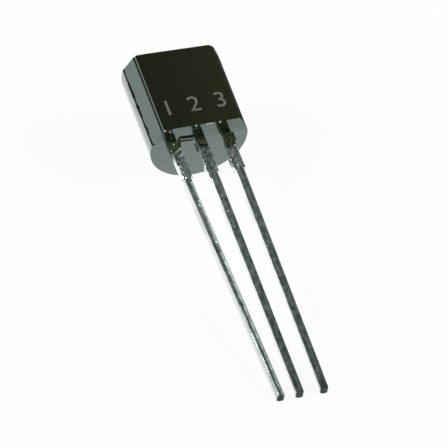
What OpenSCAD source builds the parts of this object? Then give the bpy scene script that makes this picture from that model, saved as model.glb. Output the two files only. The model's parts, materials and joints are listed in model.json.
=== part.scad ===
// Three-lead transistor in a moulded case with a flat front and a round back.
// It lies as it comes to rest: flat face up, on the rim of its round back and on the tips of its leads.
// Each piece is drawn in the leadframe's own frame and then laid down: X across the leads, Y up along
// them with the case's lead end at 0, and Z out of the flat, with 0 at the front of the leadframe,
// which is also the plane where the two halves of the mould part.

/* [Moulded case] */
// Height of the case, from the end where the leads leave it to its top
body_h = 4.62; // [4.3:0.02:5.4]
// Depth of the case, from the flat face to the back
body_depth = 3.65; // [3.3:0.01:4.2]
// Depth of the front half, from the flat face to the parting plane
front_depth = 0.9; // [0.8:0.01:1.3]
// Width of the case at the parting plane
body_w = 4.64; // [4.3:0.01:5.4]
// Width of the flat face
flat_w = 3.66; // [3.3:0.01:4.1]
// Width of the small step in each side wall, close to the flat face
rim_step = 0.07; // [0.03:0.01:0.1]
// How far that step lies behind the flat face
rim_drop = 0.1; // [0.05:0.01:0.2]
// How far the top leans in between the parting plane and the flat or the back
top_draft = 0.06; // [0.02:0.01:0.12]
// How far the lead end leans in between the parting plane and the flat or the back
foot_draft = 0.02; // [0.01:0.01:0.1]
// Rounding where the top of the front half meets its side walls
corner_r = 0.18; // [0.05:0.01:0.3]

/* [Leads] */
// Distance between neighbouring leads where they leave the case
lead_pitch = 1.27; // [1.2:0.01:1.35]
// Length of a lead outside the case
lead_len = 15.3; // [8:0.1:20]
// Width of a lead beyond its shoulder
lead_w = 0.38; // [0.3:0.01:0.5]
// Thickness of the leadframe
lead_t = 0.38; // [0.25:0.01:0.5]
// Width of the shoulder next to the case
shoulder_w = 0.55; // [0.5:0.01:0.65]
// Length of the shoulder outside the case
shoulder_len = 2.15; // [1:0.05:3]
// How much further out than the pitch the emitter lead leaves the case
emitter_offset = 0.1; // [0:0.01:0.12]
// Angle by which the emitter lead leans towards the middle one, in degrees
emitter_lean = 1.75; // [0:0.05:1.9]
// Angle by which the collector lead leans towards the middle one, in degrees
collector_lean = 0.4; // [0:0.05:1.9]

/* [Leadframe inside the case] */
// Height of the base post's neck, from the case's lead end to the head
base_neck_h = 0.75; // [0.5:0.05:0.9]
// Width of the base post's head
base_head_w = 0.94; // [0.7:0.01:1.1]
// Height of the base post's head
base_head_h = 0.5; // [0.4:0.05:0.6]
// Width of the emitter post's head
emitter_head_w = 0.86; // [0.7:0.01:0.95]
// Height of the emitter post's head
emitter_head_h = 1.0; // [0.6:0.05:1.1]
// How far the emitter post's head ends below the paddle's upper edge
emitter_head_drop = 0.7; // [0.5:0.05:0.8]
// Gap between the base post's head and the paddle's lower edge
base_gap = 0.3; // [0.2:0.05:0.4]
// Gap between the emitter post's head and the paddle's left edge
emitter_gap = 0.4; // [0.3:0.05:0.5]
// Plastic left over the paddle's upper edge
top_cover = 0.75; // [0.6:0.05:0.9]
// Plastic left beside the paddle's right edge, at the parting plane
side_cover = 0.57; // [0.4:0.01:0.65]
// Depth of the notches by which the plastic grips the paddle's edges
lock_notch = 0.14; // [0.08:0.01:0.2]

/* [Chip and wires] */
// Side of the square chip
die_side = 0.46; // [0.3:0.01:0.6]
// Thickness of the chip
die_t = 0.2; // [0.15:0.01:0.3]
// How far the chip's middle lies in from the paddle's left edge
die_inset = 0.9; // [0.6:0.05:1.2]
// How far the chip's middle lies up from the paddle's lower edge
die_raise = 0.85; // [0.6:0.05:1]
// Thickness of the layer that bonds the chip to the paddle
attach_t = 0.02; // [0.01:0.005:0.03]
// How far that layer shows around the chip
attach_margin = 0.04; // [0.02:0.01:0.08]
// Diameter of the bond wires
wire_d = 0.025; // [0.02:0.001:0.038]
// Height of a wire's loop over the straight line between its ends
wire_loop = 0.24; // [0.15:0.01:0.35]
// Diameter of the pressed ball where a wire starts on the chip, and of its weld on the post
ball_d = 0.075; // [0.06:0.001:0.1]
// Height of that ball
ball_h = 0.03; // [0.02:0.005:0.04]

/* [Hidden] */
$fn = 96;
wire_sides = 8; // a wire is too fine to need a round section

// The case: the back is one arc through both parting edges and the deepest point
back_depth = body_depth - front_depth;
back_r = (pow(body_w / 2, 2) + pow(back_depth, 2)) / (2 * back_depth);
wall_lean = atan(((body_w - flat_w) / 2 - rim_step) / front_depth);
step_z = front_depth - rim_drop;
step_x = body_w / 2 - step_z * tan(wall_lean);
top_lean = atan(top_draft / front_depth);
reach = 3 * (body_w + body_depth); // more than the case's width, for shapes that only trim it

// Where the leads leave the case
emitter_x = -lead_pitch - emitter_offset;
base_x = 0;
collector_x = lead_pitch;

// The leadframe inside
paddle_low = base_neck_h + base_head_h + base_gap;
paddle_high = body_h - top_cover;
paddle_left = emitter_x + emitter_head_w / 2 + emitter_gap;
paddle_right = body_w / 2 - side_cover;
emitter_neck_h = paddle_high - emitter_head_drop - emitter_head_h;
notch_h = 2 * lock_notch;

// The chip, and the middle of each wire's weld on the chip and on its post
die_x = paddle_left + die_inset;
die_y = paddle_low + die_raise;
pad_step = die_side / 4;
emitter_pad = [die_x - pad_step, die_y + pad_step, attach_t + die_t];
base_pad = [die_x - pad_step, die_y - pad_step, attach_t + die_t];
emitter_land = [emitter_x + emitter_head_w / 4, emitter_neck_h + emitter_head_h / 2, 0];
base_land = [base_x, base_neck_h + base_head_h / 2, 0];

// How it lies: the rim of the back and the tips of the leads touch the ground
lie_tilt = atan((back_depth - lead_t) / (lead_len + foot_draft));
lie_lift = lead_len * sin(lie_tilt) + lead_t * cos(lie_tilt);
lie_front = -lead_len * cos(lie_tilt);
lie_rear = max((body_h - top_draft) * cos(lie_tilt) + back_depth * sin(lie_tilt), body_h * cos(lie_tilt));

module laid_down() {
    translate([0, -(lie_front + lie_rear) / 2, lie_lift]) rotate([lie_tilt, 0, 0]) children();
}

// Outline across the case: leaning walls, each with its step, in front of the parting plane and one
// arc behind it
module case_section() {
    polygon([[-body_w / 2, 0], [body_w / 2, 0],
             [step_x, step_z], [step_x - rim_step, step_z], [flat_w / 2, front_depth],
             [-flat_w / 2, front_depth], [rim_step - step_x, step_z], [-step_x, step_z]]);
    intersection() {
        translate([0, back_r - back_depth]) circle(r = back_r);
        translate([-reach / 2, -reach]) square(reach);
    }
}

// Outline of the case from its side: each end stands out furthest at the parting plane
module case_side() {
    polygon([[0, 0], [foot_draft, front_depth], [body_h - top_draft, front_depth], [body_h, 0],
             [body_h - top_draft, -back_depth], [foot_draft, -back_depth]]);
}

// What is cut off along the edge between the top and a right wall that lies out from the flat's edge
module corner_cut(out) {
    translate([flat_w / 2 + out, body_h - top_draft, front_depth]) rotate([top_lean, -wall_lean, 0])
        translate([-corner_r, -corner_r, -reach / 2]) difference() {
            cube([2 * corner_r, 2 * corner_r, reach]);
            cylinder(r = corner_r, h = reach);
        }
}

// The cuts for both corners, where they lie between two depths
module corner_cuts(low, high, out) {
    intersection() {
        union() {
            corner_cut(out);
            mirror([1, 0, 0]) corner_cut(out);
        }
        translate([-reach / 2, 0, low]) cube([reach, reach, high - low]);
    }
}

module case_solid() {
    difference() {
        intersection() {
            translate([0, body_h, 0]) rotate([90, 0, 0]) linear_extrude(body_h) case_section();
            translate([-reach / 2, 0, 0]) rotate([90, 0, 90]) linear_extrude(reach) case_side();
        }
        corner_cuts(0, step_z, rim_step);
        corner_cuts(step_z, reach, 0);
    }
}

// The outside part of a lead that leaves the case at x. Its tip lies to the right of that by shift.
module lead_outside(x, shift) {
    step_x = x + shift * shoulder_len / lead_len;
    tip_x = x + shift;
    polygon([[tip_x - lead_w / 2, -lead_len], [tip_x + lead_w / 2, -lead_len],
             [step_x + lead_w / 2, -shoulder_len], [step_x + shoulder_w / 2, -shoulder_len],
             [x + shoulder_w / 2, 0], [x - shoulder_w / 2, 0],
             [step_x - shoulder_w / 2, -shoulder_len], [step_x - lead_w / 2, -shoulder_len]]);
}

// The inside part of a lead: a neck, and a wider head on which a wire lands
module post(x, neck_h, head_w, head_h) {
    translate([x - shoulder_w / 2, 0]) square([shoulder_w, neck_h]);
    translate([x - head_w / 2, neck_h]) square([head_w, head_h]);
}

module paddle() {
    translate([collector_x - shoulder_w / 2, 0]) square([shoulder_w, paddle_low]);
    difference() {
        translate([paddle_left, paddle_low]) square([paddle_right - paddle_left, paddle_high - paddle_low]);
        for (edge = [paddle_left, paddle_right])
            translate([edge - lock_notch, paddle_high - 2 * notch_h]) square([2 * lock_notch, notch_h]);
    }
}

// Gives a flat outline the leadframe's thickness, with its front at the parting plane
module stamped() {
    translate([0, 0, -lead_t]) linear_extrude(lead_t) children();
}

// A wire that rises from its ball on the chip and comes down on its post in one arc
module bond_wire(pad, land) {
    way = [land[0] - pad[0], land[1] - pad[1]];
    drop = pad[2] + ball_h - land[2] - wire_d / 2;
    chord = norm([norm(way), drop]);
    arc_r = (pow(chord / 2, 2) + pow(wire_loop, 2)) / (2 * wire_loop);
    half_sweep = asin(chord / 2 / arc_r);
    translate(pad) cylinder(d = ball_d, h = ball_h, $fn = wire_sides);
    translate(land) cylinder(d = ball_d, h = wire_d / 2, $fn = wire_sides);
    translate([pad[0], pad[1], pad[2] + ball_h])
        rotate([0, atan2(drop, norm(way)), atan2(way[1], way[0])]) rotate([90, 0, 0])
            translate([chord / 2, wire_loop - arc_r, 0]) rotate([0, 0, 90 - half_sweep])
                rotate_extrude(angle = 2 * half_sweep)
                    translate([arc_r, 0]) circle(d = wire_d, $fn = wire_sides);
}

module emitter_lead_shape() {
    stamped() {
        lead_outside(emitter_x, lead_len * tan(emitter_lean));
        post(emitter_x, emitter_neck_h, emitter_head_w, emitter_head_h);
    }
}

module base_lead_shape() {
    stamped() {
        lead_outside(base_x, 0);
        post(base_x, base_neck_h, base_head_w, base_head_h);
    }
}

module collector_lead_shape() {
    stamped() {
        lead_outside(collector_x, -lead_len * tan(collector_lean));
        paddle();
    }
}

module die_attach_shape() {
    side = die_side + 2 * attach_margin;
    translate([die_x - side / 2, die_y - side / 2, 0]) cube([side, side, attach_t]);
}

module transistor_die_shape() {
    translate([die_x - die_side / 2, die_y - die_side / 2, attach_t]) cube([die_side, die_side, die_t]);
}

// The plastic fills all that the leadframe, the chip and the wires leave free
module moulded_body() {
    color("#22241a") laid_down() difference() {
        case_solid();
        emitter_lead_shape();
        base_lead_shape();
        collector_lead_shape();
        die_attach_shape();
        transistor_die_shape();
        bond_wire(emitter_pad, emitter_land);
        bond_wire(base_pad, base_land);
    }
}

module emitter_lead() {
    color("#5a625e") laid_down() emitter_lead_shape();
}

module base_lead() {
    color("#5a625e") laid_down() base_lead_shape();
}

module collector_lead() {
    color("#5a625e") laid_down() collector_lead_shape();
}

module transistor_die() {
    color("#4a5260") laid_down() transistor_die_shape();
}

module die_attach() {
    color("#c8c8c8") laid_down() die_attach_shape();
}

module emitter_bond_wire() {
    color("#d9a928") laid_down() bond_wire(emitter_pad, emitter_land);
}

module base_bond_wire() {
    color("#d9a928") laid_down() bond_wire(base_pad, base_land);
}

moulded_body();
emitter_lead();
base_lead();
collector_lead();
transistor_die();
die_attach();
emitter_bond_wire();
base_bond_wire();
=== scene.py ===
"""Finishes a three-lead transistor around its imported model.

Each piece is shaped in the leadframe's own frame, in millimetres: X across the leads, Y up along
them with the case's lead end at 0, and Z out of the flat face with 0 at the front of the leads. It
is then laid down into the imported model's frame, in metres.
"""

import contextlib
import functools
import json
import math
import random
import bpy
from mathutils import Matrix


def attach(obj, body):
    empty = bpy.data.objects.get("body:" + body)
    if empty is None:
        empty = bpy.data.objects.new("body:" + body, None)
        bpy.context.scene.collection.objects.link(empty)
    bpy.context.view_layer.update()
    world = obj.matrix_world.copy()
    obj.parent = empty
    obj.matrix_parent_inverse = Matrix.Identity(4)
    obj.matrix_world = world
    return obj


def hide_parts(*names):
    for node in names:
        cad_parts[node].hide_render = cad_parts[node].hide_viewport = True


bl_info = {
    "name": "Three-lead transistor",
    "version": (1, 0, 0),
    "blender": (4, 5, 0),
    "location": "3D View > Sidebar > Transistor",
    "description": "Models and finishes a moulded transistor that lies on its leads",
    "category": "Add Mesh",
}

import bmesh
import bpy
from bpy.props import FloatProperty, FloatVectorProperty, PointerProperty
from mathutils import Matrix, Vector

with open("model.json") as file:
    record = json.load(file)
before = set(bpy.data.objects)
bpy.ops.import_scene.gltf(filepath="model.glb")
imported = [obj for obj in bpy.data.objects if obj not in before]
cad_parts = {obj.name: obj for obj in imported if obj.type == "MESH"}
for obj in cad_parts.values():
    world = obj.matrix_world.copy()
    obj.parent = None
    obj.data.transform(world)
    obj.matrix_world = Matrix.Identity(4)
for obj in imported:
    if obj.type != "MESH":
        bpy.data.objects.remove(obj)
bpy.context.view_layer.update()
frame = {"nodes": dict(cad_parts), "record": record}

MM = 0.001


# ---------------------------------------------------------------- the leadframe's own frame


def flat_axis():
    """Direction in which the flat face looks, from the record."""
    return Vector(next(m["axis"] for m in frame["record"]["mounts"] if m["name"] == "flat"))


def turned_box(turn, node):
    """Lowest and highest corner of a CAD node after a turn, in metres."""
    points = [turn @ v.co for v in frame["nodes"][node].data.vertices]
    return (Vector(map(min, *points)), Vector(map(max, *points)))


LIE_TILT = math.atan2(-flat_axis().y, flat_axis().z)
LIE_TURN = Matrix.Rotation(LIE_TILT, 4, "X")
LEAD_END = turned_box(LIE_TURN.inverted(), "moulded_body")[0].y
LEAD_FRONT = turned_box(LIE_TURN.inverted(), "base_lead")[1].z
LAID_DOWN = LIE_TURN @ Matrix.Translation((0, LEAD_END, LEAD_FRONT)) @ Matrix.Scale(MM, 4)
UPRIGHT = LAID_DOWN.inverted()


def upright_box(node):
    """Lowest and highest corner of a CAD node in the leadframe's own frame, in millimetres."""
    return turned_box(UPRIGHT, node)


CASE_LOW, CASE_HIGH = upright_box("moulded_body")
LEAD_BOXES = {name: upright_box(name) for name in ("emitter_lead", "base_lead", "collector_lead")}
LEAD_TIP = LEAD_BOXES["base_lead"][0].y
LEAD_THICK = -LEAD_BOXES["base_lead"][0].z


def length(name, description, millimetres):
    """A length that a user may change, kept in metres."""
    return FloatProperty(name=name, description=description, default=millimetres * MM, min=0,
                         precision=5, unit="LENGTH", subtype="DISTANCE")


def tint(name, description, *rgb):
    """A colour that a user may change."""
    return FloatVectorProperty(name=name, description=description, default=rgb, size=3,
                               min=0, max=1, subtype="COLOR")


def ratio(name, description, value):
    """A plain number from 0 to 1 that a user may change."""
    return FloatProperty(name=name, description=description, default=value, min=0, max=1,
                         subtype="FACTOR")


class CaseSizes(bpy.types.PropertyGroup):
    body_w: length("Body width", "Width of the case where its two halves meet", 4.60)
    flat_w: length("Flat width", "Width of the flat face", 3.66)
    rim_step: length("Rim step", "Width of the step in each side wall near the flat", 0.07)
    rim_drop: length("Rim drop", "How far that step lies behind the flat", 0.1)
    flat_set: length("Flat set back", "How far the flat lies behind the built case's", 0.01)
    top_lean: length("Top lean", "How much higher the top's front edge is on the left", 0.1)
    top_draft: length("Top draft", "How far the top leans in towards the flat and the back", 0.035)
    foot_draft: length("Foot draft", "How far the lead end leans in, as the top does", 0.02)
    left_corner_r: length("Left corner radius", "Rounding of the front's top left corner", 0.07)
    right_corner_r: length("Right corner radius", "Rounding of its top right corner", 0.13)
    edge_r: length("Edge radius", "Softening of every other edge", 0.03)
    fin_out: length("Fin reach", "How far the fin stands out where the halves meet", 0.05)
    fin_t: length("Fin thickness", "Greatest thickness of that fin", 0.13)


class LeadSizes(bpy.types.PropertyGroup):
    edge_r: length("Edge radius", "Rounding of a lead's long edges", 0.012)
    leaning: length("Leaning side", "How much the first lead's front is narrower on the left", 0.05)
    rolled_w: length("Rolled width", "Width of the slope down the first lead's right edge", 0.17)
    tip_r: length("Tip radius", "Rounding of the cut tips' front edges", 0.05)
    tip_back_r: length("Tip back radius", "Rounding of the cut tips' back edges", 0.13)
    tip_corner: length("Tip corner", "Rounding of the cut tips, seen from the front", 0.13)
    grain: length("Solder grain", "Size of the faces of the dipped shoulders", 0.02)
    dip_low: length("Dip end", "How far from the case the lumpy solder reaches", 2.45)
    shoulder_len: length("Shoulder length", "Length of a lead's wide part outside the case", 2.15)
    lumps: length("Solder lumps", "Height of the lumps on the dipped shoulders", 0.06)


class Finishes(bpy.types.PropertyGroup):
    plastic: tint("Plastic", "Moulded plastic", 0.0085, 0.0098, 0.0025)
    plastic_deep: tint("Plastic, deep", "Darker drifts in the plastic", 0.0045, 0.0058, 0.0012)
    plastic_back: tint("Plastic, back", "Paler and warmer plastic towards the back",
                       0.05, 0.034, 0.024)
    # The flash colour also paints shade: dark strips on the lead end and the ledge's front face.
    flash: tint("Mould flash", "Thin dull plastic where the mould's halves meet",
                0.008, 0.009, 0.006)
    ledge: tint("Ledge", "Resin of the ledge between the first two leads", 0.16, 0.185, 0.16)
    # The crumbs are pale as painted glints.
    crumbs: tint("Crumbs", "Pale specks of resin along the flat's lower edge", 0.52, 0.54, 0.48)
    marking: tint("Marking", "Plastic where the laser has marked it", 0.135, 0.145, 0.105)
    tin: tint("Tin", "Tin on the sides of the leads", 0.95, 0.98, 0.965)
    tin_front: tint("Front tin", "Tin on the fronts of the leads", 0.82, 1.0, 0.92)
    tin_dull: tint("Dull tin", "Duller drifts on those fronts", 0.34, 0.43, 0.39)
    specks: tint("Specks", "Dark specks on the dipped shoulders", 0.12, 0.14, 0.13)
    # Cut metal is also painted over the tips' rounded corners as shade.
    cut_metal: tint("Cut metal", "Bare metal at the cut tips", 0.03, 0.042, 0.038)
    # The resin colours also paint shade down the first lead's left side.
    resin: tint("Resin stain", "Resin that has bled onto the leads", 0.068, 0.078, 0.042)
    resin_deep: tint("Resin stain, deep", "Its darkest patches", 0.014, 0.018, 0.008)
    gold: tint("Gold", "Bond wires", 0.85, 0.62, 0.22)
    silicon: tint("Silicon", "Chip", 0.16, 0.17, 0.21)
    silver: tint("Silver", "Layer under the chip", 0.70, 0.70, 0.68)
    gloss: ratio("Wall roughness", "Roughness of the case's moulded walls", 0.09)
    matte: ratio("Flat roughness", "Roughness of the flat face", 0.42)


class Studio(bpy.types.PropertyGroup):
    azimuth: FloatProperty(name="Azimuth", description="Where the camera stands round the part",
                           default=math.radians(-21.5), subtype="ANGLE")
    elevation: FloatProperty(name="Elevation", description="How high the camera looks from",
                             default=math.radians(42.0), subtype="ANGLE")
    roll: FloatProperty(name="Roll", description="How far the camera is rolled about its view",
                        default=math.radians(5.04), subtype="ANGLE")
    distance: length("Distance", "From the camera to the point that it looks at", 400)
    lens: FloatProperty(name="Lens", description="Focal length, in millimetres", default=701.5,
                        min=1)
    aim: FloatVectorProperty(name="Aim", description="Point that the camera looks at", size=3,
                             default=(0.206 * MM, 1.672 * MM, 0.292 * MM), precision=6,
                             subtype="TRANSLATION", unit="LENGTH")
    lamp_watts: FloatProperty(name="Lamps", description="Power of each soft lamp, in watts",
                              default=0.6, min=0)
    sky: ratio("Sky", "Strength of the light from high above", 0.135)
    horizon: ratio("Horizon", "Strength of the light from low down", 0.95)


# ---------------------------------------------------------------- modelling helpers

DOUBLE = 1e-4  # millimetres between two points that count as one


def deselect():
    """Leaves nothing selected, because an operator acts on all that is."""
    bpy.ops.object.select_all(action="DESELECT")


def only(piece):
    """Makes a piece the only selected and the active one."""
    deselect()
    piece.select_set(True)
    bpy.context.view_layer.objects.active = piece


def apply_place(piece):
    """Puts a piece's place, turn and size into its mesh."""
    only(piece)
    bpy.ops.object.transform_apply(location=True, rotation=True, scale=True)


def primitive(name, operator, **settings):
    """A named piece that an operator adds."""
    deselect()
    operator(**settings)
    piece = bpy.context.object
    piece.name = name
    apply_place(piece)
    return piece


def box_piece(name, low, high, turn=(0, 0, 0)):
    """A box between two corners, turned about its middle."""
    low, high = Vector(low), Vector(high)
    return primitive(name, bpy.ops.mesh.primitive_cube_add, size=1, location=(low + high) / 2,
                     rotation=turn, scale=high - low)


def bead(name, x, y, z, size):
    """A small round bead, to be merged into a surface."""
    return primitive(name, bpy.ops.mesh.primitive_ico_sphere_add, subdivisions=3, radius=size,
                     location=(x, y, z))


@contextlib.contextmanager
def editing(piece):
    """Keeps a piece in edit mode, with everything selected at first."""
    only(piece)
    bpy.ops.object.mode_set(mode="EDIT")
    bpy.ops.mesh.select_all(action="SELECT")
    yield
    bpy.ops.object.mode_set(mode="OBJECT")


def pick(piece, kind, test):
    """In edit mode, selects only the edges or the faces for which test is true."""
    bpy.ops.mesh.select_mode(type=kind)
    bpy.ops.mesh.select_all(action="DESELECT")
    shape = bmesh.from_edit_mesh(piece.data)
    shape.normal_update()
    for part in {"EDGE": shape.edges, "FACE": shape.faces}[kind]:
        part.select_set(test(part))
    shape.select_flush_mode()
    bmesh.update_edit_mesh(piece.data)


def middle(edge):
    """The point halfway along an edge."""
    return (edge.verts[0].co + edge.verts[1].co) / 2


def run_of(edge):
    """The direction of an edge."""
    return (edge.verts[1].co - edge.verts[0].co).normalized()


def slice_off(piece, point, normal):
    """Cuts off what lies beyond a plane and closes the cut."""
    with editing(piece):
        bpy.ops.mesh.bisect(plane_co=point, plane_no=normal, use_fill=True, clear_outer=True,
                            threshold=1e-5)


def bevel_edges(piece, test, radius, segments):
    """Rounds the edges for which test is true."""
    with editing(piece):
        pick(piece, "EDGE", test)
        bpy.ops.mesh.bevel(offset=radius, segments=segments, profile=0.5, affect="EDGES")


def modify(piece, kind, **settings):
    """Adds a modifier with these settings and applies it."""
    only(piece)
    bpy.ops.object.modifier_add(type=kind)
    modifier = piece.modifiers[-1]
    for key, value in settings.items():
        setattr(modifier, key, value)
    bpy.ops.object.modifier_apply(modifier=modifier.name)


def unite(piece, *others):
    """Joins other pieces to a piece, without the faces that end up inside."""
    for other in others:
        faces = len(piece.data.polygons)
        modify(piece, "BOOLEAN", operation="UNION", solver="EXACT", object=other)
        if len(piece.data.polygons) < faces / 2:
            raise RuntimeError(f"{other.name} could not be united with {piece.name}")
        bpy.data.objects.remove(other)


def merge_shells(piece, others):
    """Joins pieces as separate shells of one piece."""
    only(piece)
    for other in others:
        other.select_set(True)
    bpy.ops.object.join()


def close_up(piece):
    """Merges doubles, splits many-sided faces, drops empty ones and turns all of them outwards."""
    with editing(piece):
        bpy.ops.mesh.remove_doubles(threshold=DOUBLE)
        pick(piece, "FACE", lambda face: len(face.verts) > 4)
        bpy.ops.mesh.quads_convert_to_tris(ngon_method="BEAUTY")
        bpy.ops.mesh.select_all(action="SELECT")
        bpy.ops.mesh.dissolve_degenerate(threshold=DOUBLE)
        bpy.ops.mesh.normals_make_consistent(inside=False)


def smooth(piece):
    """Shades soft edges smooth, with the large faces left flat."""
    only(piece)
    bpy.ops.object.shade_smooth_by_angle(angle=math.radians(38))
    modify(piece, "WEIGHTED_NORMAL", keep_sharp=True)


def copy_of(piece, name):
    """A copy of a piece, with its own mesh."""
    copy = bpy.data.objects.new(name, piece.data.copy())
    bpy.context.scene.collection.objects.link(copy)
    return copy


def merged_copy(node, name):
    """A merged copy of a CAD node in the leadframe's own frame, with its flat faces whole."""
    piece = copy_of(frame["nodes"][node], name)
    piece.data.materials.clear()
    piece.data.transform(UPRIGHT)
    close_up(piece)
    with editing(piece):
        bpy.ops.mesh.dissolve_limited(angle_limit=math.radians(0.5))
    return piece


def lay_down(piece, slot, *nodes):
    """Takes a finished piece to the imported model's frame, where it stands for its CAD nodes."""
    piece.matrix_world = LAID_DOWN
    apply_place(piece)
    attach(piece, "root")
    if nodes:
        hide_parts(*nodes)


# ---------------------------------------------------------------- shader helpers


def empty_tree(owner):
    """The node tree of a material or a world, with nothing in it."""
    owner.use_nodes = True
    owner.node_tree.nodes.clear()
    return owner.node_tree


def feed(tree, socket, value):
    """Links an input to another node's output, or sets its value."""
    if isinstance(value, bpy.types.NodeSocket):
        tree.links.new(value, socket)
    else:
        socket.default_value = value


def add(tree, kind, inputs=None, **settings):
    """Adds a node, sets it up and feeds its inputs."""
    made = tree.nodes.new("ShaderNode" + kind)
    for key, value in settings.items():
        setattr(made, key, value)
    for key, value in (inputs or {}).items():
        feed(tree, made.inputs[key], value)
    return made


def colour(rgb):
    """A colour as a socket holds it."""
    return (*rgb, 1.0)


def ramp(tree, value, low, high, at_low=0.0, at_high=1.0, shape="LINEAR"):
    """A value that goes from at_low to at_high while another goes from low to high."""
    return add(tree, "MapRange", {"Value": value, "From Min": low, "From Max": high,
                                  "To Min": at_low, "To Max": at_high},
               interpolation_type=shape).outputs["Result"]


def reckon(tree, operation, *values):
    """The result of one Math node."""
    return add(tree, "Math", dict(enumerate(values)), operation=operation).outputs[0]


def times(tree, *values):
    """The product of several values."""
    return functools.reduce(lambda a, b: reckon(tree, "MULTIPLY", a, b), values)


def greatest(tree, *values):
    """The greatest of several values."""
    return functools.reduce(lambda a, b: reckon(tree, "MAXIMUM", a, b), values)


def rest_of(tree, value):
    """What a value lacks to 1."""
    return reckon(tree, "SUBTRACT", 1.0, value)


def scaled(tree, tone, factor):
    """A colour times a value."""
    return add(tree, "VectorMath", {0: tone, "Scale": factor}, operation="SCALE").outputs["Vector"]


def blended(tree, factor, first, second):
    """The first colour where a mask is 0, and the second where it is 1."""
    return add(tree, "Mix", {"Factor": factor, "A": first, "B": second},
               data_type="RGBA").outputs["Result"]


def axes_of(tree, where):
    """The three coordinates of a place."""
    return add(tree, "SeparateXYZ", {"Vector": where}).outputs


def new_group(name, inputs, outputs):
    """An empty shader group. Inputs and outputs are (name, kind, default) and (name, kind)."""
    tree = bpy.data.node_groups.new(name, "ShaderNodeTree")
    for socket, kind, default in inputs:
        made = tree.interface.new_socket(socket, in_out="INPUT", socket_type="NodeSocket" + kind)
        if default is not None:
            made.default_value = default
    for socket, kind in outputs:
        tree.interface.new_socket(socket, in_out="OUTPUT", socket_type="NodeSocket" + kind)
    return tree, tree.nodes.new("NodeGroupInput").outputs, tree.nodes.new("NodeGroupOutput").inputs


def clouds(tree, where, size, **settings):
    """Soft noise in patches of one size."""
    fine = reckon(tree, "DIVIDE", 1.0, size)
    return add(tree, "TexNoise", {"Vector": where, "Scale": fine, **settings}).outputs["Fac"]


def drift_group():
    """Two colours that drift into each other in soft patches."""
    tree, given, result = new_group(
        "colour_drift",
        [("Vector", "Vector", None), ("Patch size", "Float", 1.0),
         ("First", "Color", (1, 1, 1, 1)), ("Second", "Color", (0, 0, 0, 1))],
        [("Color", "Color"), ("Mask", "Float")])
    noise = clouds(tree, given["Vector"], given["Patch size"], Detail=5.0, Roughness=0.6)
    mask = ramp(tree, noise, 0.35, 0.65, shape="SMOOTHSTEP")
    tree.links.new(blended(tree, mask, given["First"], given["Second"]), result["Color"])
    tree.links.new(mask, result["Mask"])
    return tree


def grit_group():
    """Fine grit: a height for bumps, and a mask of scattered specks."""
    tree, given, result = new_group(
        "surface_grit",
        [("Vector", "Vector", None), ("Grain size", "Float", 0.05), ("Speck share", "Float", 0.1)],
        [("Height", "Float"), ("Specks", "Float")])
    noise = clouds(tree, given["Vector"], given["Grain size"], Detail=3.0)
    fine = reckon(tree, "DIVIDE", 1.0, given["Grain size"])
    cells = add(tree, "TexVoronoi", {"Vector": given["Vector"], "Scale": fine})
    lot = add(tree, "SeparateColor", {"Color": cells.outputs["Color"]}).outputs[0]
    chosen = reckon(tree, "LESS_THAN", lot, given["Speck share"])
    near = ramp(tree, cells.outputs["Distance"], 0.45, 0.2)
    tree.links.new(noise, result["Height"])
    tree.links.new(times(tree, chosen, near), result["Specks"])
    return tree


def fade_group():
    """A mask that fades in between two places along the leads, with a ragged border."""
    tree, given, result = new_group(
        "ragged_fade",
        [("Vector", "Vector", None), ("Start", "Float", 0.0), ("End", "Float", 1.0),
         ("Raggedness", "Float", 0.1), ("Patch size", "Float", 0.15)],
        [("Mask", "Float")])
    along = axes_of(tree, given["Vector"])["Y"]
    noise = clouds(tree, given["Vector"], given["Patch size"], Detail=3.0)
    level = reckon(tree, "SUBTRACT", noise, 0.5)
    push = reckon(tree, "MULTIPLY_ADD", level, given["Raggedness"], along)
    mask = ramp(tree, push, given["Start"], given["End"], shape="SMOOTHSTEP")
    tree.links.new(mask, result["Mask"])
    return tree


GROUPS = {}


def build_groups():
    """Makes the groups that several materials use, by name."""
    GROUPS.update(drift=drift_group(), grit=grit_group(), fade=fade_group())


def use(tree, group, inputs):
    """Places a shared group in a material, with its own values."""
    return add(tree, "Group", inputs, node_tree=GROUPS[group]).outputs


def drifting(tree, where, patch_mm, first=(1, 1, 1), second=(0, 0, 0)):
    """Two colours that drift into each other in patches of one size, and their mask."""
    return use(tree, "drift", {"Vector": where, "Patch size": patch_mm, "First": colour(first),
                               "Second": colour(second)})


def gritty(tree, where, grain_mm, speck_share=0.1):
    """Grit of one grain size: its height and its specks."""
    return use(tree, "grit", {"Vector": where, "Grain size": grain_mm, "Speck share": speck_share})


def toned(rgb, share):
    """A colour made darker or paler by a number."""
    return [part * share for part in rgb]


def new_material(name):
    """A material with an empty Principled shader, and coordinates that run in millimetres along the
    leadframe's own axes."""
    material = bpy.data.materials.new(name)
    tree = empty_tree(material)
    place = add(tree, "TexCoord").outputs["Object"]
    frame_mm = add(tree, "Mapping", {"Vector": place, "Location": LAID_DOWN.translation,
                                     "Rotation": (LIE_TILT, 0, 0), "Scale": (MM, MM, MM)},
                   vector_type="TEXTURE").outputs["Vector"]
    shader = add(tree, "BsdfPrincipled")
    out = add(tree, "OutputMaterial", {"Surface": shader.outputs["BSDF"]})
    shader.location, out.location = (900, 0), (1200, 0)
    return material, tree, frame_mm, shader


def dress(shader, **inputs):
    """Feeds a Principled shader's inputs, which are named with _ for a space."""
    for key, value in inputs.items():
        feed(shader.id_data, shader.inputs[key.replace("_", " ")], value)


def bump(tree, height, metres, under=None):
    """Turns a height from 0 to 1 into a normal, with that many metres between its ends."""
    inputs = {"Height": height, "Distance": metres, "Strength": 1.0}
    if under is not None:
        inputs["Normal"] = under
    return add(tree, "Bump", inputs).outputs["Normal"]


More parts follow.
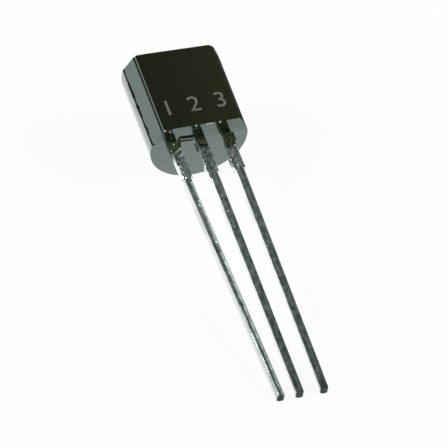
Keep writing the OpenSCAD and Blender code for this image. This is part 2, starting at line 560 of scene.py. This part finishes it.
def plastic_material(name, finish, ior, sheen_tint, roughness, grain_mm, grain_height, coat=0.0):
    """Moulded plastic with drifting tone, fine grain and slow ripples, a little paler to the right
    as a painted sheen, and warmer towards the back."""
    material, tree, where, shader = new_material(name)
    place = axes_of(tree, where)
    tone = drifting(tree, where, 0.9, finish.plastic, finish.plastic_deep)
    grit = gritty(tree, where, grain_mm)
    slow = bump(tree, drifting(tree, where, 2.2)["Mask"], 0.004 * MM)
    normal = bump(tree, grit["Height"], grain_height * MM, slow)
    rough = ramp(tree, tone["Mask"], 0, 1, roughness * 0.85, roughness * 1.15)
    # Painted sheen: the plastic grows paler to the right.
    base = scaled(tree, tone["Color"], ramp(tree, place["X"], -2.0, 2.0, 0.7, 1.7))
    deep = ramp(tree, place["Z"], -0.9, CASE_LOW.z)
    base = blended(tree, deep, base, colour(finish.plastic_back))
    dress(shader, Base_Color=base, Roughness=rough, Normal=normal, IOR=ior,
          Specular_Tint=colour(sheen_tint), Coat_Weight=coat)
    return material


def two_toned_material(name, first, second, patch_mm, grain_mm, grain_height, **settings):
    """Two colours in patches, with fine grain. Also gives the shader and the patches' mask."""
    material, tree, where, shader = new_material(name)
    tone = drifting(tree, where, patch_mm, first, second)
    normal = bump(tree, gritty(tree, where, grain_mm)["Height"], grain_height * MM)
    dress(shader, Base_Color=tone["Color"], Normal=normal, **settings)
    return material, shader, tone["Mask"]


def marking_material(finish):
    """Plastic that the laser has burnt pale."""
    return two_toned_material("laser_marking", finish.marking, toned(finish.marking, 0.72),
                              patch_mm=0.12, grain_mm=0.03, grain_height=0.004, Roughness=0.8)[0]


def side_tin(tree, finish, place):
    """Bright tin on the leads' sides, with painted shade near the fronts towards the tips and on
    the first lead's side below its shoulder.
    """
    # Painted shade: the first lead's side is dimmer below its shoulder.
    right = ramp(tree, place["X"], -1.0, -0.8)
    shoulders = ramp(tree, place["Y"], -2.6, -2.3)
    painted_first_side_dim = ramp(tree, greatest(tree, right, shoulders), 0, 1, 0.88, 1.0)
    # Painted shade: the sides darken near the fronts, more towards the tips.
    to_tip = ramp(tree, place["Y"], -4.0, LEAD_TIP)
    to_front = ramp(tree, place["Z"], -0.34, -0.05, 0.0, 0.35)
    unshaded_share = rest_of(tree, times(tree, to_tip, to_front))
    return scaled(tree, finish.tin[:], times(tree, painted_first_side_dim, unshaded_share))


def resin_stain(tree, where, place):
    """Where resin has bled onto the leads next to the case, with painted shade in its colour down
    the first lead's left side.
    """
    further = ramp(tree, place["X"], 0.3, 0.9, -0.07, 0.1)
    shift = add(tree, "CombineXYZ", {"Y": further}).outputs[0]
    moved = add(tree, "VectorMath", {0: where, 1: shift}).outputs["Vector"]
    near_case = use(tree, "fade", {"Vector": moved, "Start": -0.85, "End": -0.45,
                                   "Raggedness": 1.1, "Patch size": 0.4})["Mask"]
    # Painted shade down the first lead's left side, in the resin's colour.
    down_side = use(tree, "fade", {"Vector": where, "Start": -1.08, "End": -1.0,
                                   "Raggedness": 0.1})["Mask"]
    painted_side_shade = times(tree, down_side, ramp(tree, place["X"], -1.53, -1.57))
    outside = ramp(tree, place["Y"], 0.12, 0.08)
    return times(tree, greatest(tree, near_case, painted_side_shade), outside)


def tin_material(finish):
    """Tin, mottled and specked, duller to the tips and stained with resin next to the case, with
    painted shade down the first lead's left side and over the cut tips' corners.
    """
    material, tree, where, shader = new_material("tinned_lead")
    place = axes_of(tree, where)
    grit = gritty(tree, where, 0.09, 0.16)
    drawn = add(tree, "Mapping", {"Vector": where, "Scale": (8, 1.3, 8)}).outputs["Vector"]
    lines = add(tree, "TexNoise", {"Vector": drawn, "Scale": 1.0, "Detail": 4.0}).outputs["Fac"]

    mottled = drifting(tree, where, 0.28, finish.tin_front, finish.tin_dull)
    streaks = ramp(tree, lines, 0.35, 0.65, 0.6, 1.45)
    # The fronts darken towards the tips, streaked along the leads.
    worn = times(tree, ramp(tree, place["Y"], LEAD_TIP, -3.0, 0.66, 1.05), streaks)
    in_front = ramp(tree, place["Z"], -0.045, -0.02)
    tone = blended(tree, in_front, side_tin(tree, finish, place),
                   scaled(tree, mottled["Color"], worn))

    dipped = use(tree, "fade", {"Vector": where, "Start": -2.6, "End": -2.2, "Raggedness": 0.6})
    # Dark specks scattered over the dipped shoulders.
    dark_speck_mask = times(tree, grit["Specks"], dipped["Mask"])
    tone = blended(tree, dark_speck_mask, tone, colour(finish.specks))

    # Bare cut metal at the tips, also painted as shade over their rounded corners.
    tip = use(tree, "fade", {"Vector": where, "Start": LEAD_TIP + 0.17, "End": LEAD_TIP + 0.04,
                             "Raggedness": 0.06})["Mask"]
    bare = drifting(tree, where, 0.2, finish.cut_metal, toned(finish.cut_metal, 2.2))
    tone = blended(tree, tip, tone, bare["Color"])

    # Resin stain next to the case, and painted shade down the first lead's left side.
    stain = resin_stain(tree, where, place)
    resin = drifting(tree, where, 0.22, finish.resin, finish.resin_deep)
    tone = blended(tree, ramp(tree, stain, 0.0, 0.8), tone, resin["Color"])

    metal = ramp(tree, greatest(tree, stain, tip), 0.7, 1.0, 1.0, 0.0)
    rough = ramp(tree, mottled["Mask"], 0, 1, 0.18, 0.3)
    fine = bump(tree, lines, 0.004 * MM)
    dress(shader, Base_Color=tone, Metallic=metal, Roughness=rough, IOR=1.2,
          Normal=bump(tree, grit["Height"], 0.004 * MM, fine))
    return material


def resin_material(name, first, second, roughness, ior=1.5):
    """Thin moulding resin that has squeezed out between the mould's halves."""
    return two_toned_material(name, first, second, patch_mm=0.12, grain_mm=0.04,
                              grain_height=0.003, Roughness=roughness, IOR=ior)[0]


def crumb_material(finish):
    """The pale resin of the crumbs, a painted glint, made once."""
    made = bpy.data.materials.get("resin_crumb_glints")
    return made or resin_material("resin_crumb_glints", finish.crumbs, toned(finish.crumbs, 0.7),
                                  roughness=0.4)


def inner_material(name, first, second, patch_mm, metallic, roughness):
    """A finish for the pieces inside the case."""
    material, shader, mask = two_toned_material(name, first, second, patch_mm, patch_mm / 4,
                                                grain_height=0.001, Metallic=metallic)
    dress(shader, Roughness=ramp(shader.id_data, mask, 0, 1, roughness * 0.8, roughness * 1.2))
    return material


# ---------------------------------------------------------------- the case

# The case's materials, in the order of its slots. The flash slot also holds painted shade, and the
# crumbs' slot is pale as painted glints.
WALLS, FLAT, FLASH_AND_SHADE, LEDGE, GLINT_CRUMBS, BACK = range(6)
# Flash on the lead end, and strips of painted shade by the base and collector leads: two opposite
# corners, a turn about the leads in degrees, and its material.
LEAD_END_FLASH_AND_SHADE = {
    "ledge": ((-1.0, -0.08, 0.05), (-0.29, 0.1, 0.19), 4, LEDGE),
    "leg": ((-1.05, -0.02, -0.50), (-0.92, 0.1, 0.15), -10, FLASH_AND_SHADE),
    "under": ((-1.0, -0.012, -0.13), (-0.33, 0.1, -0.03), 4, FLASH_AND_SHADE),
    # Painted shade: dark strips by the base and collector leads.
    "shade_by_base_lead": ((-0.115, -0.015, -1.08), (-0.05, 0.1, -0.46), -19, FLASH_AND_SHADE),
    "shade_by_collector_lead": ((1.63, -0.02, -0.70), (1.73, 0.1, -0.04), -19, FLASH_AND_SHADE),
    "step": ((0.30, -0.006, -0.55), (0.98, 0.1, 0.03), 0, WALLS),
}
LEDGE_R = 0.025
# Crumbs along the flat's lower edge, pale as painted glints: how far across, how far out, and
# radius.
RESIN_CRUMB_GLINTS = ((-1.79, 0.87, 0.045), (-0.29, 0.865, 0.045), (0.87, 0.86, 0.05), (1.74, 0.85, 0.03))
# The fin: how many cuts it has along it, at how many places its reach is drawn, and their draw.
FIN_CUTS, FIN_KNOTS, FIN_DRAW = 80, 26, 11


def case_facts(sizes):
    """The case's driving places in millimetres, from its box and the user's sizes."""
    body_w, flat_w = sizes.body_w / MM, sizes.flat_w / MM
    front, back = CASE_HIGH.z - sizes.flat_set / MM, -CASE_LOW.z
    lean = math.atan(((body_w - flat_w) / 2 - sizes.rim_step / MM) / front)
    return {
        "body_w": body_w, "flat_w": flat_w, "front": front, "back": back, "high": CASE_HIGH.y,
        "back_r": ((body_w / 2) ** 2 + back ** 2) / (2 * back), "lean": lean,
        "step_z": front - sizes.rim_drop / MM,
    }


def trim_ends(piece, sizes, facts):
    """Gives the top and the lead end their draft, both ways from where the mould's halves meet."""
    top, foot = sizes.top_draft / MM, sizes.foot_draft / MM
    for depth in (facts["front"], -facts["back"]):
        side = math.copysign(1, depth)
        lean = sizes.top_lean / MM / facts["flat_w"] if side > 0 else 0
        slice_off(piece, (0, facts["high"], 0), (lean * depth, abs(depth), side * top))
        slice_off(piece, (0, 0, 0), (0, -abs(depth), side * foot))


def lean_walls(piece, facts, x, z):
    """Slices both side walls to their lean, through a place at that distance from the middle."""
    for side in (-1, 1):
        slice_off(piece, (side * x, 0, z),
                  (side * math.cos(facts["lean"]), 0, math.sin(facts["lean"])))


def round_top_corners(piece, sizes, facts):
    """Rounds the edges between the top and the side walls of the front half."""
    near_top = facts["high"] - (sizes.top_lean + 2 * sizes.top_draft) / MM
    for side, radius in ((-1, sizes.left_corner_r), (1, sizes.right_corner_r)):

        def is_corner(edge):
            return (middle(edge).y > near_top and middle(edge).z > 0.01
                    and abs(run_of(edge).z) > 0.7 and middle(edge).x * side > facts["flat_w"] / 3)

        bevel_edges(piece, is_corner, radius / MM, 8)


def case_blank(sizes, facts):
    """The round back and the leaning walls, up to the step near the flat."""
    blank = primitive("case", bpy.ops.mesh.primitive_cylinder_add, vertices=240,
                      radius=facts["back_r"], depth=facts["high"], rotation=(math.pi / 2, 0, 0),
                      location=(0, facts["high"] / 2, facts["back_r"] - facts["back"]))
    lean_walls(blank, facts, facts["body_w"] / 2, 0)
    slice_off(blank, (0, 0, facts["step_z"]), (0, 0, 1))
    trim_ends(blank, sizes, facts)
    round_top_corners(blank, sizes, facts)
    return blank


def case_plateau(sizes, facts):
    """The part of the case in front of that step, which ends in the flat face."""
    half, root = facts["flat_w"] / 2, facts["step_z"] - 0.1
    plateau = box_piece("plateau", (-half * 1.2, 0, root),
                        (half * 1.2, facts["high"], facts["front"]))
    lean_walls(plateau, facts, half, facts["front"])
    trim_ends(plateau, sizes, facts)
    round_top_corners(plateau, sizes, facts)
    return plateau


def mould_fin(sizes, facts):
    """The ragged fin down the left side, where the mould's halves meet. The right side has none."""
    out, thick = sizes.fin_out / MM, sizes.fin_t / MM
    half = facts["body_w"] / 2
    fin = box_piece("fin", (-half - out, -0.01, -thick / 2),
                    (-half + 0.1, facts["high"] - 0.02, thick / 2))
    with editing(fin):
        pick(fin, "EDGE", lambda e: abs(run_of(e).y) > 0.9)
        bpy.ops.mesh.subdivide(number_cuts=FIN_CUTS)
    draw = random.Random(FIN_DRAW)
    knots = [(draw.uniform(0.45, 1.0), draw.uniform(0.15, 1.0), draw.uniform(-0.3, 0.3))
             for _ in range(FIN_KNOTS)]
    for vert in fin.data.vertices:
        spot = max(vert.co.y, 0.0) / facts["high"] * (FIN_KNOTS - 2)
        first, part = knots[int(spot)], spot - int(spot)
        reach, height, shift = (a + (b - a) * part for a, b in zip(first, knots[int(spot) + 1]))
        if vert.co.x < -half:
            vert.co.x = -half - out * reach
        vert.co.z = vert.co.z * height + shift * 0.03
    return fin


def lead_end_flash(facts):
    """The flash, the painted shade strips and the crumbs on the lead end: each piece with its
    material in the case.
    """
    pieces = []
    for name, (low, high, turn, material) in LEAD_END_FLASH_AND_SHADE.items():
        piece = box_piece(name, low, high, (0, math.radians(turn), 0))
        if material == LEDGE:
            bevel_edges(piece, lambda e: middle(e).y < 0 and abs(run_of(e).y) < 0.5, LEDGE_R, 3)
        pieces.append((piece, material))
    front = facts["front"]
    # A pale dash on the flat's lower edge, as a painted glint.
    lip = box_piece("lip", (0.23, -0.02, front - 0.03), (0.56, 0.1, front - 0.005))
    pieces.append((lip, GLINT_CRUMBS))
    pieces.extend((bead("crumb", x, 0.003, z, size), GLINT_CRUMBS) for x, z, size in RESIN_CRUMB_GLINTS)
    return pieces


def add_flash(case, pieces):
    """Unites flash with the case, each piece in its own material, and paints the ledge's front face
    in the dark flash colour as shade.
    """
    for piece, number in pieces:
        for material in case.data.materials:
            piece.data.materials.append(material)
        for face in piece.data.polygons:
            # Painted shade: the ledge's front face takes the dark flash colour.
            face.material_index = FLASH_AND_SHADE if number == LEDGE and face.normal.z > 0.5 else number
        unite(case, piece)


def paint_case(case, facts):
    """Gives the flat face, the round back and a dark dull strip on the edge at the lead end's left
    their finish.
    """
    for face in case.data.polygons:
        spot, normal = face.center, face.normal
        if normal.z > 0.98 and spot.z > facts["step_z"] + 0.03:
            face.material_index = FLAT
        # A dark dull strip on the edge at the lead end's left.
        elif normal.x < -0.3 and normal.y < -0.3 and spot.y < 0.05 and spot.z > 0:
            face.material_index = FLASH_AND_SHADE
        elif spot.z < 0 and abs(normal.y) < 0.5:
            face.material_index = BACK


def case_materials(finish):
    """The case's materials, in the order of its slots."""
    moulded = {"roughness": finish.gloss, "grain_mm": 0.05, "grain_height": 0.0006}
    spark_cut = {"roughness": finish.matte, "grain_mm": 0.035, "grain_height": 0.003}
    return (
        plastic_material("case_walls", finish, ior=2.55, sheen_tint=(0.765, 1.0, 0.95), **moulded),
        plastic_material("case_flat", finish, ior=1.4, sheen_tint=(1.0, 1.0, 0.75), **spark_cut),
        resin_material("mould_flash_and_shade", finish.flash, finish.plastic_deep, roughness=0.5, ior=1.2),
        resin_material("pale_resin", finish.ledge, toned(finish.ledge, 0.6), roughness=0.4),
        crumb_material(finish),
        plastic_material("case_back", finish, ior=3.0, sheen_tint=(0.85, 1.0, 0.96), coat=1.0,
                         **moulded),
    )


class TRANSISTOR_OT_case(bpy.types.Operator):
    """Model the moulded case, with its rim, its fin and the ledges at its lead end"""
    bl_idname = "transistor.case"
    bl_label = "Moulded case"

    def execute(self, context):
        sizes, finish = context.scene.transistor_case, context.scene.transistor_finish
        facts = case_facts(sizes)
        case = case_blank(sizes, facts)
        unite(case, case_plateau(sizes, facts))
        modify(case, "BEVEL", width=sizes.edge_r / MM, segments=2, limit_method="ANGLE",
               angle_limit=math.radians(40), use_clamp_overlap=True)
        for material in case_materials(finish):
            case.data.materials.append(material)
        paint_case(case, facts)
        add_flash(case, [(mould_fin(sizes, facts), FLASH_AND_SHADE), *lead_end_flash(facts)])
        close_up(case)
        smooth(case)
        lay_down(case, "case_plastic", "moulded_body")
        return {"FINISHED"}


# The pin numbers on the flat: how far across each stands, how high up, and their size.
NUMBERS_X, NUMBERS_Y, NUMBERS_SIZE = (-1.27, 0.0, 1.27), 0.85, 1.25
# How far their middles lie inside the built case's front, and half their thickness.
NUMBERS_SINK, NUMBERS_HALF = 0.002, 0.006


class TRANSISTOR_OT_marking(bpy.types.Operator):
    """Mark the pin numbers on the flat face"""
    bl_idname = "transistor.marking"
    bl_label = "Pin numbers"

    def execute(self, context):
        finish = context.scene.transistor_finish
        digits = []
        for number, x in enumerate(NUMBERS_X, 1):
            deselect()
            bpy.ops.object.text_add(location=(x, NUMBERS_Y, CASE_HIGH.z - NUMBERS_SINK))
            digit = context.object
            digit.data.body = str(number)
            digit.data.align_x = "CENTER"
            digit.data.size = NUMBERS_SIZE
            digit.data.extrude = NUMBERS_HALF
            bpy.ops.object.convert(target="MESH")
            apply_place(context.object)
            digits.append(context.object)
        marking = digits[0]
        merge_shells(marking, digits[1:])
        marking.name = "pin_numbers"
        close_up(marking)
        marking.data.materials.clear()
        marking.data.materials.append(marking_material(finish))
        lay_down(marking, "case_plastic")
        return {"FINISHED"}


# ---------------------------------------------------------------- the leads

# Stubs at the lower ends of the shoulders: place, size and turn.
STUBS = {
    "emitter_lead": [((-1.13, -2.0, -0.2), (0.26, 0.5, 0.34), 0.1),
                     ((-1.5, -2.33, 0.0), (0.08, 0.08, 0.07), 0.5)],
    "base_lead": [((-0.24, -2.3, -0.15), (0.1, 0.3, 0.25), 0.25),
                  ((-0.2, -2.42, -0.2), (0.07, 0.2, 0.2), 0.3),
                  ((0.24, -2.12, -0.2), (0.1, 0.16, 0.3), -0.3)],
    "collector_lead": [((1.02, -2.1, -0.12), (0.1, 0.16, 0.22), 0.4),
                       ((1.5, -2.06, -0.2), (0.12, 0.22, 0.3), -0.1)],
}
# How high a shoulder's lumps are, next to the usual, and what share of that its sides have.
LUMPS = {"emitter_lead": (1.5, 0.0), "base_lead": (0.9, 0.3), "collector_lead": (1.1, 0.3)}
# A shoulder's worn sides: which side, depth at the case, depth further along, and where that is.
WORN_SIDES = {
    "emitter_lead": [(-1, 0.075, 0.075, -2.0), (1, 0.02, 0.0, -0.8)],
    "base_lead": [(-1, 0.14, 0.0, -1.4), (1, 0.04, 0.0, -1.0)],
    "collector_lead": [(-1, 0.16, 0.0, -1.2), (1, 0.04, 0.0, -1.0)],
}
# Small beads on the leads' fronts: place, radius, and the slot of their material. The pale resin
# beads stand as painted glints.
TIN, PALE_GLINT_RESIN = range(2)
BEADS = {
    "emitter_lead": [(-1.17, -3.6, 0.045, TIN), (-1.2, -3.87, 0.05, TIN), (-1.13, -6.1, 0.05, TIN),
                     (-1.33, -0.19, 0.045, PALE_GLINT_RESIN), (-1.15, -0.5, 0.045, PALE_GLINT_RESIN)],
    "base_lead": [(-0.07, -4.47, 0.036, TIN), (-0.04, -3.52, 0.028, TIN), (0.0, -5.4, 0.022, TIN)],
    "collector_lead": [(1.44, -0.8, 0.045, PALE_GLINT_RESIN), (1.2, -4.93, 0.028, TIN),
                       (1.14, -5.63, 0.024, TIN), (1.11, -6.83, 0.028, TIN),
                       (1.14, -8.62, 0.022, TIN)],
}
INTO_CASE = 0.1  # how far the dipped solder reaches into the case
OVERLAP = 0.01  # by how much neighbouring stretches of a lead overlap
LUMP_SIZE, LUMP_FADE = 0.17, 0.25  # the lumps' size, and over what length they die out
# How steep the slope down the first lead's right edge is, and its leaning left side.
ROLLED_SLOPE, LEANING_SLOPE = math.radians(17), math.radians(83)


def lumpy(piece, name, height_mm, low, high, side_share):
    """Raises random lumps between two places along a piece, lower ones on its sides."""
    group = piece.vertex_groups.new(name=name)
    for vert in piece.data.vertices:
        weight = min((vert.co.y - low) / LUMP_FADE, (high - vert.co.y) / LUMP_FADE, 1.0)
        weight *= side_share + (1 - side_share) * max(0.0, vert.normal.z) ** 3
        if weight > 0:
            group.add([vert.index], weight, "REPLACE")
    texture = bpy.data.textures.new(name, "CLOUDS")
    texture.noise_scale = LUMP_SIZE
    texture.noise_depth = 1
    modify(piece, "DISPLACE", texture=texture, texture_coords="LOCAL", strength=height_mm,
           mid_level=0.5, vertex_group=name)
    piece.vertex_groups.clear()


def stretch_of(piece, name, low, high):
    """A copy of the part of a piece between two places along it."""
    stretch = copy_of(piece, name)
    if low is not None:
        slice_off(stretch, (0, low, 0), (0, -1, 0))
    if high is not None:
        slice_off(stretch, (0, high, 0), (0, 1, 0))
    return stretch


def stub(place, size, turn):
    """A stub of metal, left where the strip between the leads was cut away."""
    half = Vector(size) / 2
    return box_piece("stub", Vector(place) - half, Vector(place) + half, (0, 0, turn))


def roll_edges(lead, sizes):
    """Cuts a gentle slope down the first lead's right edge, and makes its left side lean."""
    near_tip, near_dip = LEAD_TIP + 0.3, -sizes.dip_low / MM - 0.1
    for side, inward, slope in ((1, sizes.rolled_w / MM, ROLLED_SLOPE),
                                (-1, sizes.leaning / MM, LEANING_SLOPE)):
        spots = sorted((v.co for v in lead.data.vertices), key=lambda co: -co.x * side)
        tip = next(co for co in spots if co.y < near_tip)
        top = next(co for co in spots if co.y > near_dip)
        along = (top - tip).xy.normalized()
        across = Vector((along.y, -along.x, 0)) * side
        slice_off(lead, Vector((*top.xy, 0)) - across * inward,
                  across * math.sin(slope) + Vector((0, 0, math.cos(slope))))


def wear_side(dipped, sizes, side, at_case, further, y):
    """Cuts a shoulder's side back by one depth at the case and by another further along, at y."""
    end = -sizes.shoulder_len / MM
    spots = sorted((v.co for v in dipped.data.vertices), key=lambda co: -co.x * side)
    near = next(co for co in spots if co.y > -0.05)
    far = next(co for co in spots if end - 0.05 < co.y < end + 0.15)
    start = near - Vector((side * at_case, 0, 0))
    there = near + (far - near) * (y - near.y) / (far.y - near.y) - Vector((side * further, 0, 0))
    along = (start - there).xy.normalized()
    slice_off(dipped, start, (side * along.y, -side * along.x, 0))


def soften_edges(lead, sizes):
    """Rounds a lead's edges a little, and more and more round the corners of its tip."""
    with editing(lead):
        bpy.ops.mesh.select_all(action="DESELECT")
        bpy.ops.mesh.edges_select_sharp(sharpness=math.radians(50))
    weights = lead.data.attributes.new("bevel_weight_edge", "FLOAT", "EDGE").data
    least, corner = sizes.edge_r / sizes.tip_back_r, sizes.tip_corner / MM
    spots = lead.data.vertices
    for edge in lead.data.edges:
        if edge.select:
            place = (spots[edge.vertices[0]].co + spots[edge.vertices[1]].co) / 2
            most = 1.0 if place.z < -LEAD_THICK / 2 else sizes.tip_r / sizes.tip_back_r
            past = min(max((LEAD_TIP + corner - place.y) / corner, 0.0), 1.0)
            weights[edge.index].value = least + (most - least) * past
    modify(lead, "BEVEL", width=sizes.tip_back_r / MM, segments=4, limit_method="WEIGHT")


def dip_shoulder(rough, node, sizes):
    """The shoulder of a lead, worn at its sides and dipped in lumpy solder."""
    low = -sizes.dip_low / MM
    dipped = stretch_of(rough, "dipped", low, INTO_CASE)
    for worn in WORN_SIDES[node]:
        wear_side(dipped, sizes, *worn)
    merge_shells(dipped, [stub(*left) for left in STUBS[node]])
    modify(dipped, "REMESH", mode="VOXEL", voxel_size=sizes.grain / MM)
    modify(dipped, "SMOOTH", factor=0.5, iterations=3)
    height, side_share = LUMPS[node]
    lumpy(dipped, node + "_lumps", height * sizes.lumps / MM, low + 0.02, -0.2, side_share)
    return dipped


def add_beads(lead, beads):
    """Unites small beads with the front of a lead, each sunk in by a third of its radius."""
    for x, y, size, slot in beads:
        speck = bead("speck", x, y, -0.3 * size, size)
        for face in speck.data.polygons:
            face.material_index = slot
        unite(lead, speck)


def shape_lead(node, sizes):
    """One lead: edges and tip rounded, the shoulder dipped in lumpy solder."""
    rough = merged_copy(node, "rough")
    bevel_edges(rough, lambda e: middle(e).y < LEAD_TIP + 0.01 and abs(run_of(e).z) > 0.7,
                sizes.tip_corner / MM, 5)
    soften_edges(rough, sizes)
    dipped = dip_shoulder(rough, node, sizes)
    lead = stretch_of(rough, node.replace("_lead", "_pin"), None, OVERLAP - sizes.dip_low / MM)
    if node == "emitter_lead":
        roll_edges(lead, sizes)
    unite(lead, dipped, stretch_of(rough, "inner", INTO_CASE - OVERLAP, None))
    add_beads(lead, BEADS[node])
    bpy.data.objects.remove(rough)
    close_up(lead)
    return lead


class TRANSISTOR_OT_leads(bpy.types.Operator):
    """Model the three leads, with rounded edges, solder-dipped shoulders and cut tips"""
    bl_idname = "transistor.leads"
    bl_label = "Leads"

    def execute(self, context):
        sizes, finish = context.scene.transistor_leads, context.scene.transistor_finish
        tin = tin_material(finish)
        for node in LEAD_BOXES:
            lead = shape_lead(node, sizes)
            lead.data.materials.append(tin)
            lead.data.materials.append(crumb_material(finish))
            smooth(lead)
            lay_down(lead, "tinned_lead", node)
        return {"FINISHED"}


class TRANSISTOR_OT_inside(bpy.types.Operator):
    """Finish the chip, its bonding layer and the gold wires inside the case"""
    bl_idname = "transistor.inside"
    bl_label = "Chip and wires"

    def execute(self, context):
        finish = context.scene.transistor_finish
        chip = inner_material("chip", finish.silicon, (0.08, 0.09, 0.13), patch_mm=0.09,
                              metallic=0.3, roughness=0.15)
        paste = inner_material("bonding_paste", finish.silver, (0.5, 0.5, 0.48), patch_mm=0.03,
                               metallic=0.8, roughness=0.5)
        gold = inner_material("bond_gold", finish.gold, (0.72, 0.48, 0.14), patch_mm=0.05,
                              metallic=1.0, roughness=0.22)
        for node, name, slot, material in (
                ("transistor_die", "chip", "silicon", chip),
                ("die_attach", "bonding_layer", "attach_silver", paste),
                ("emitter_bond_wire", "emitter_wire", "gold_wire", gold),
                ("base_bond_wire", "base_wire", "gold_wire", gold)):
            piece = merged_copy(node, name)
            close_up(piece)
            piece.data.materials.append(material)
            smooth(piece)
            lay_down(piece, slot, node)
        return {"FINISHED"}


# ---------------------------------------------------------------- the studio

CARD, SHADED_CARD, WHITE = (0.86, 0.86, 0.86), (0.05, 0.05, 0.05), (1, 1, 1)
# The lamps, and the directions in which they stand.
LAMPS = {"left_lamp": (-0.85, 0.1, 0.5), "right_lamp": (0.85, -0.3, 0.45)}


def soft_step(tree, value, low_mm, high_mm, at_low, at_high):
    """A value that changes softly between two places, given in millimetres."""
    return ramp(tree, value, low_mm * MM, high_mm * MM, at_low, at_high, "SMOOTHSTEP")


def floor_material():
    """Pale card that reads white to the camera and takes the shadow. In reflections it is dim to
    the right of the case, between the leads' roots, and far to the left."""
    material = bpy.data.materials.new("pale_floor")
    tree = empty_tree(material)
    rays = add(tree, "LightPath").outputs
    place = add(tree, "TexCoord").outputs["Object"]
    spot = axes_of(tree, place)
    reach = add(tree, "VectorMath", {0: place}, operation="LENGTH").outputs["Value"]
    right = times(tree, soft_step(tree, spot["X"], 2.0, 2.6, 0, 1),
                  soft_step(tree, spot["Y"], 4.6, 5.6, 0, 1), soft_step(tree, reach, 14, 22, 1, 0))
    roots = times(tree, soft_step(tree, spot["Y"], 3.2, 3.6, 1, 0),
                  soft_step(tree, spot["Y"], 1.2, 2.2, 0, 0.35))
    for_camera = times(tree, rays["Is Camera Ray"], soft_step(tree, reach, 12, 28, 0.91, 1.0))
    for_shine = times(tree, rays["Is Glossy Ray"], rest_of(tree, right), rest_of(tree, roots),
                      soft_step(tree, spot["X"], -7, -4, 0.385, 1))
    share = greatest(tree, for_camera, for_shine, rays["Is Transmission Ray"])
    shade = times(tree, rays["Is Glossy Ray"], greatest(tree, right, roots))
    tone = blended(tree, shade, colour(CARD), colour(SHADED_CARD))
    card = add(tree, "BsdfDiffuse", {"Color": tone})
    glow = add(tree, "Emission", {"Color": colour(WHITE), "Strength": 1.0})
    mixed = add(tree, "MixShader", {0: share, 1: card.outputs[0], 2: glow.outputs[0]})
    add(tree, "OutputMaterial", {"Surface": mixed.outputs[0]})
    return material


def studio_world(studio):
    """White to the camera; for everything else pale low down on the right and dim high up."""
    world = bpy.data.worlds.new("studio")
    bpy.context.scene.world = world
    tree = empty_tree(world)
    rays = add(tree, "LightPath").outputs
    way = axes_of(tree, add(tree, "TexCoord").outputs["Generated"])
    high = reckon(tree, "MULTIPLY_ADD", way["X"], -0.3, way["Z"])
    level = ramp(tree, high, 0.05, 0.5, studio.horizon, studio.sky, "SMOOTHSTEP")
    level = times(tree, level, ramp(tree, way["Y"], -0.6, -0.2, 0.3, 1.0))
    strength = add(tree, "Mix", {"Factor": rays["Is Camera Ray"], "A": level, "B": 1.0},
                   data_type="FLOAT").outputs["Result"]
    back = add(tree, "Background", {"Color": colour(WHITE), "Strength": strength})
    add(tree, "OutputWorld", {"Surface": back.outputs[0]})


def soft_lamp(name, direction, distance, size, watts):
    """A square lamp that looks at the part from a direction."""
    deselect()
    towards = Vector(direction).normalized()
    bpy.ops.object.light_add(type="AREA", location=towards * distance,
                             rotation=towards.to_track_quat("Z", "Y").to_euler())
    lamp = bpy.context.object
    lamp.name = name
    lamp.data.shape = "SQUARE"
    lamp.data.size = size
    lamp.data.energy = watts


def place_camera(studio):
    """Puts the camera where the studio's settings say."""
    azimuth, elevation = studio.azimuth, studio.elevation
    back = Vector((math.sin(azimuth) * math.cos(elevation),
                   -math.cos(azimuth) * math.cos(elevation), math.sin(elevation)))
    turn = (-back).to_track_quat("-Z", "Y").to_matrix() @ Matrix.Rotation(studio.roll, 3, "Z")
    deselect()
    bpy.ops.object.camera_add(location=Vector(studio.aim) + back * studio.distance,
                              rotation=turn.to_euler())
    camera = bpy.context.object
    camera.data.lens = studio.lens
    camera.data.sensor_width = 36.0
    camera.data.clip_start, camera.data.clip_end = 0.01, 4.0
    bpy.context.scene.camera = camera


class TRANSISTOR_OT_studio(bpy.types.Operator):
    """Set up the floor, the soft lamps, the surroundings and the camera"""
    bl_idname = "transistor.studio"
    bl_label = "Studio"

    def execute(self, context):
        studio = context.scene.transistor_studio
        floor = primitive("floor", bpy.ops.mesh.primitive_plane_add, size=3.0)
        floor.data.materials.append(floor_material())
        studio_world(studio)
        for name, direction in LAMPS.items():
            soft_lamp(name, direction, distance=0.25, size=0.14, watts=studio.lamp_watts)
        place_camera(studio)
        context.scene.view_settings.view_transform = "Standard"
        return {"FINISHED"}


class TRANSISTOR_PT_parts(bpy.types.Panel):
    """The transistor's pieces and sizes"""
    bl_label = "Transistor"
    bl_space_type = "VIEW_3D"
    bl_region_type = "UI"
    bl_category = "Transistor"

    def draw(self, context):
        for operator in OPERATORS:
            self.layout.operator(operator.bl_idname)
        for settings in SETTINGS:
            group = getattr(context.scene, settings)
            column = self.layout.column()
            for name in group.__annotations__:
                column.prop(group, name)


SETTINGS = {
    "transistor_case": CaseSizes,
    "transistor_leads": LeadSizes,
    "transistor_finish": Finishes,
    "transistor_studio": Studio,
}
OPERATORS = (TRANSISTOR_OT_case, TRANSISTOR_OT_marking, TRANSISTOR_OT_leads,
             TRANSISTOR_OT_inside, TRANSISTOR_OT_studio)


def register():
    for cls in (*SETTINGS.values(), *OPERATORS, TRANSISTOR_PT_parts):
        bpy.utils.register_class(cls)
    for name, group in SETTINGS.items():
        setattr(bpy.types.Scene, name, PointerProperty(type=group))


def unregister():
    for name in SETTINGS:
        delattr(bpy.types.Scene, name)
    for cls in (TRANSISTOR_PT_parts, *reversed(OPERATORS), *SETTINGS.values()):
        bpy.utils.unregister_class(cls)


def main():
    register()
    build_groups()
    bpy.ops.transistor.case()
    bpy.ops.transistor.marking()
    bpy.ops.transistor.leads()
    bpy.ops.transistor.inside()
    bpy.ops.transistor.studio()


if __name__ == "__main__":
    main()
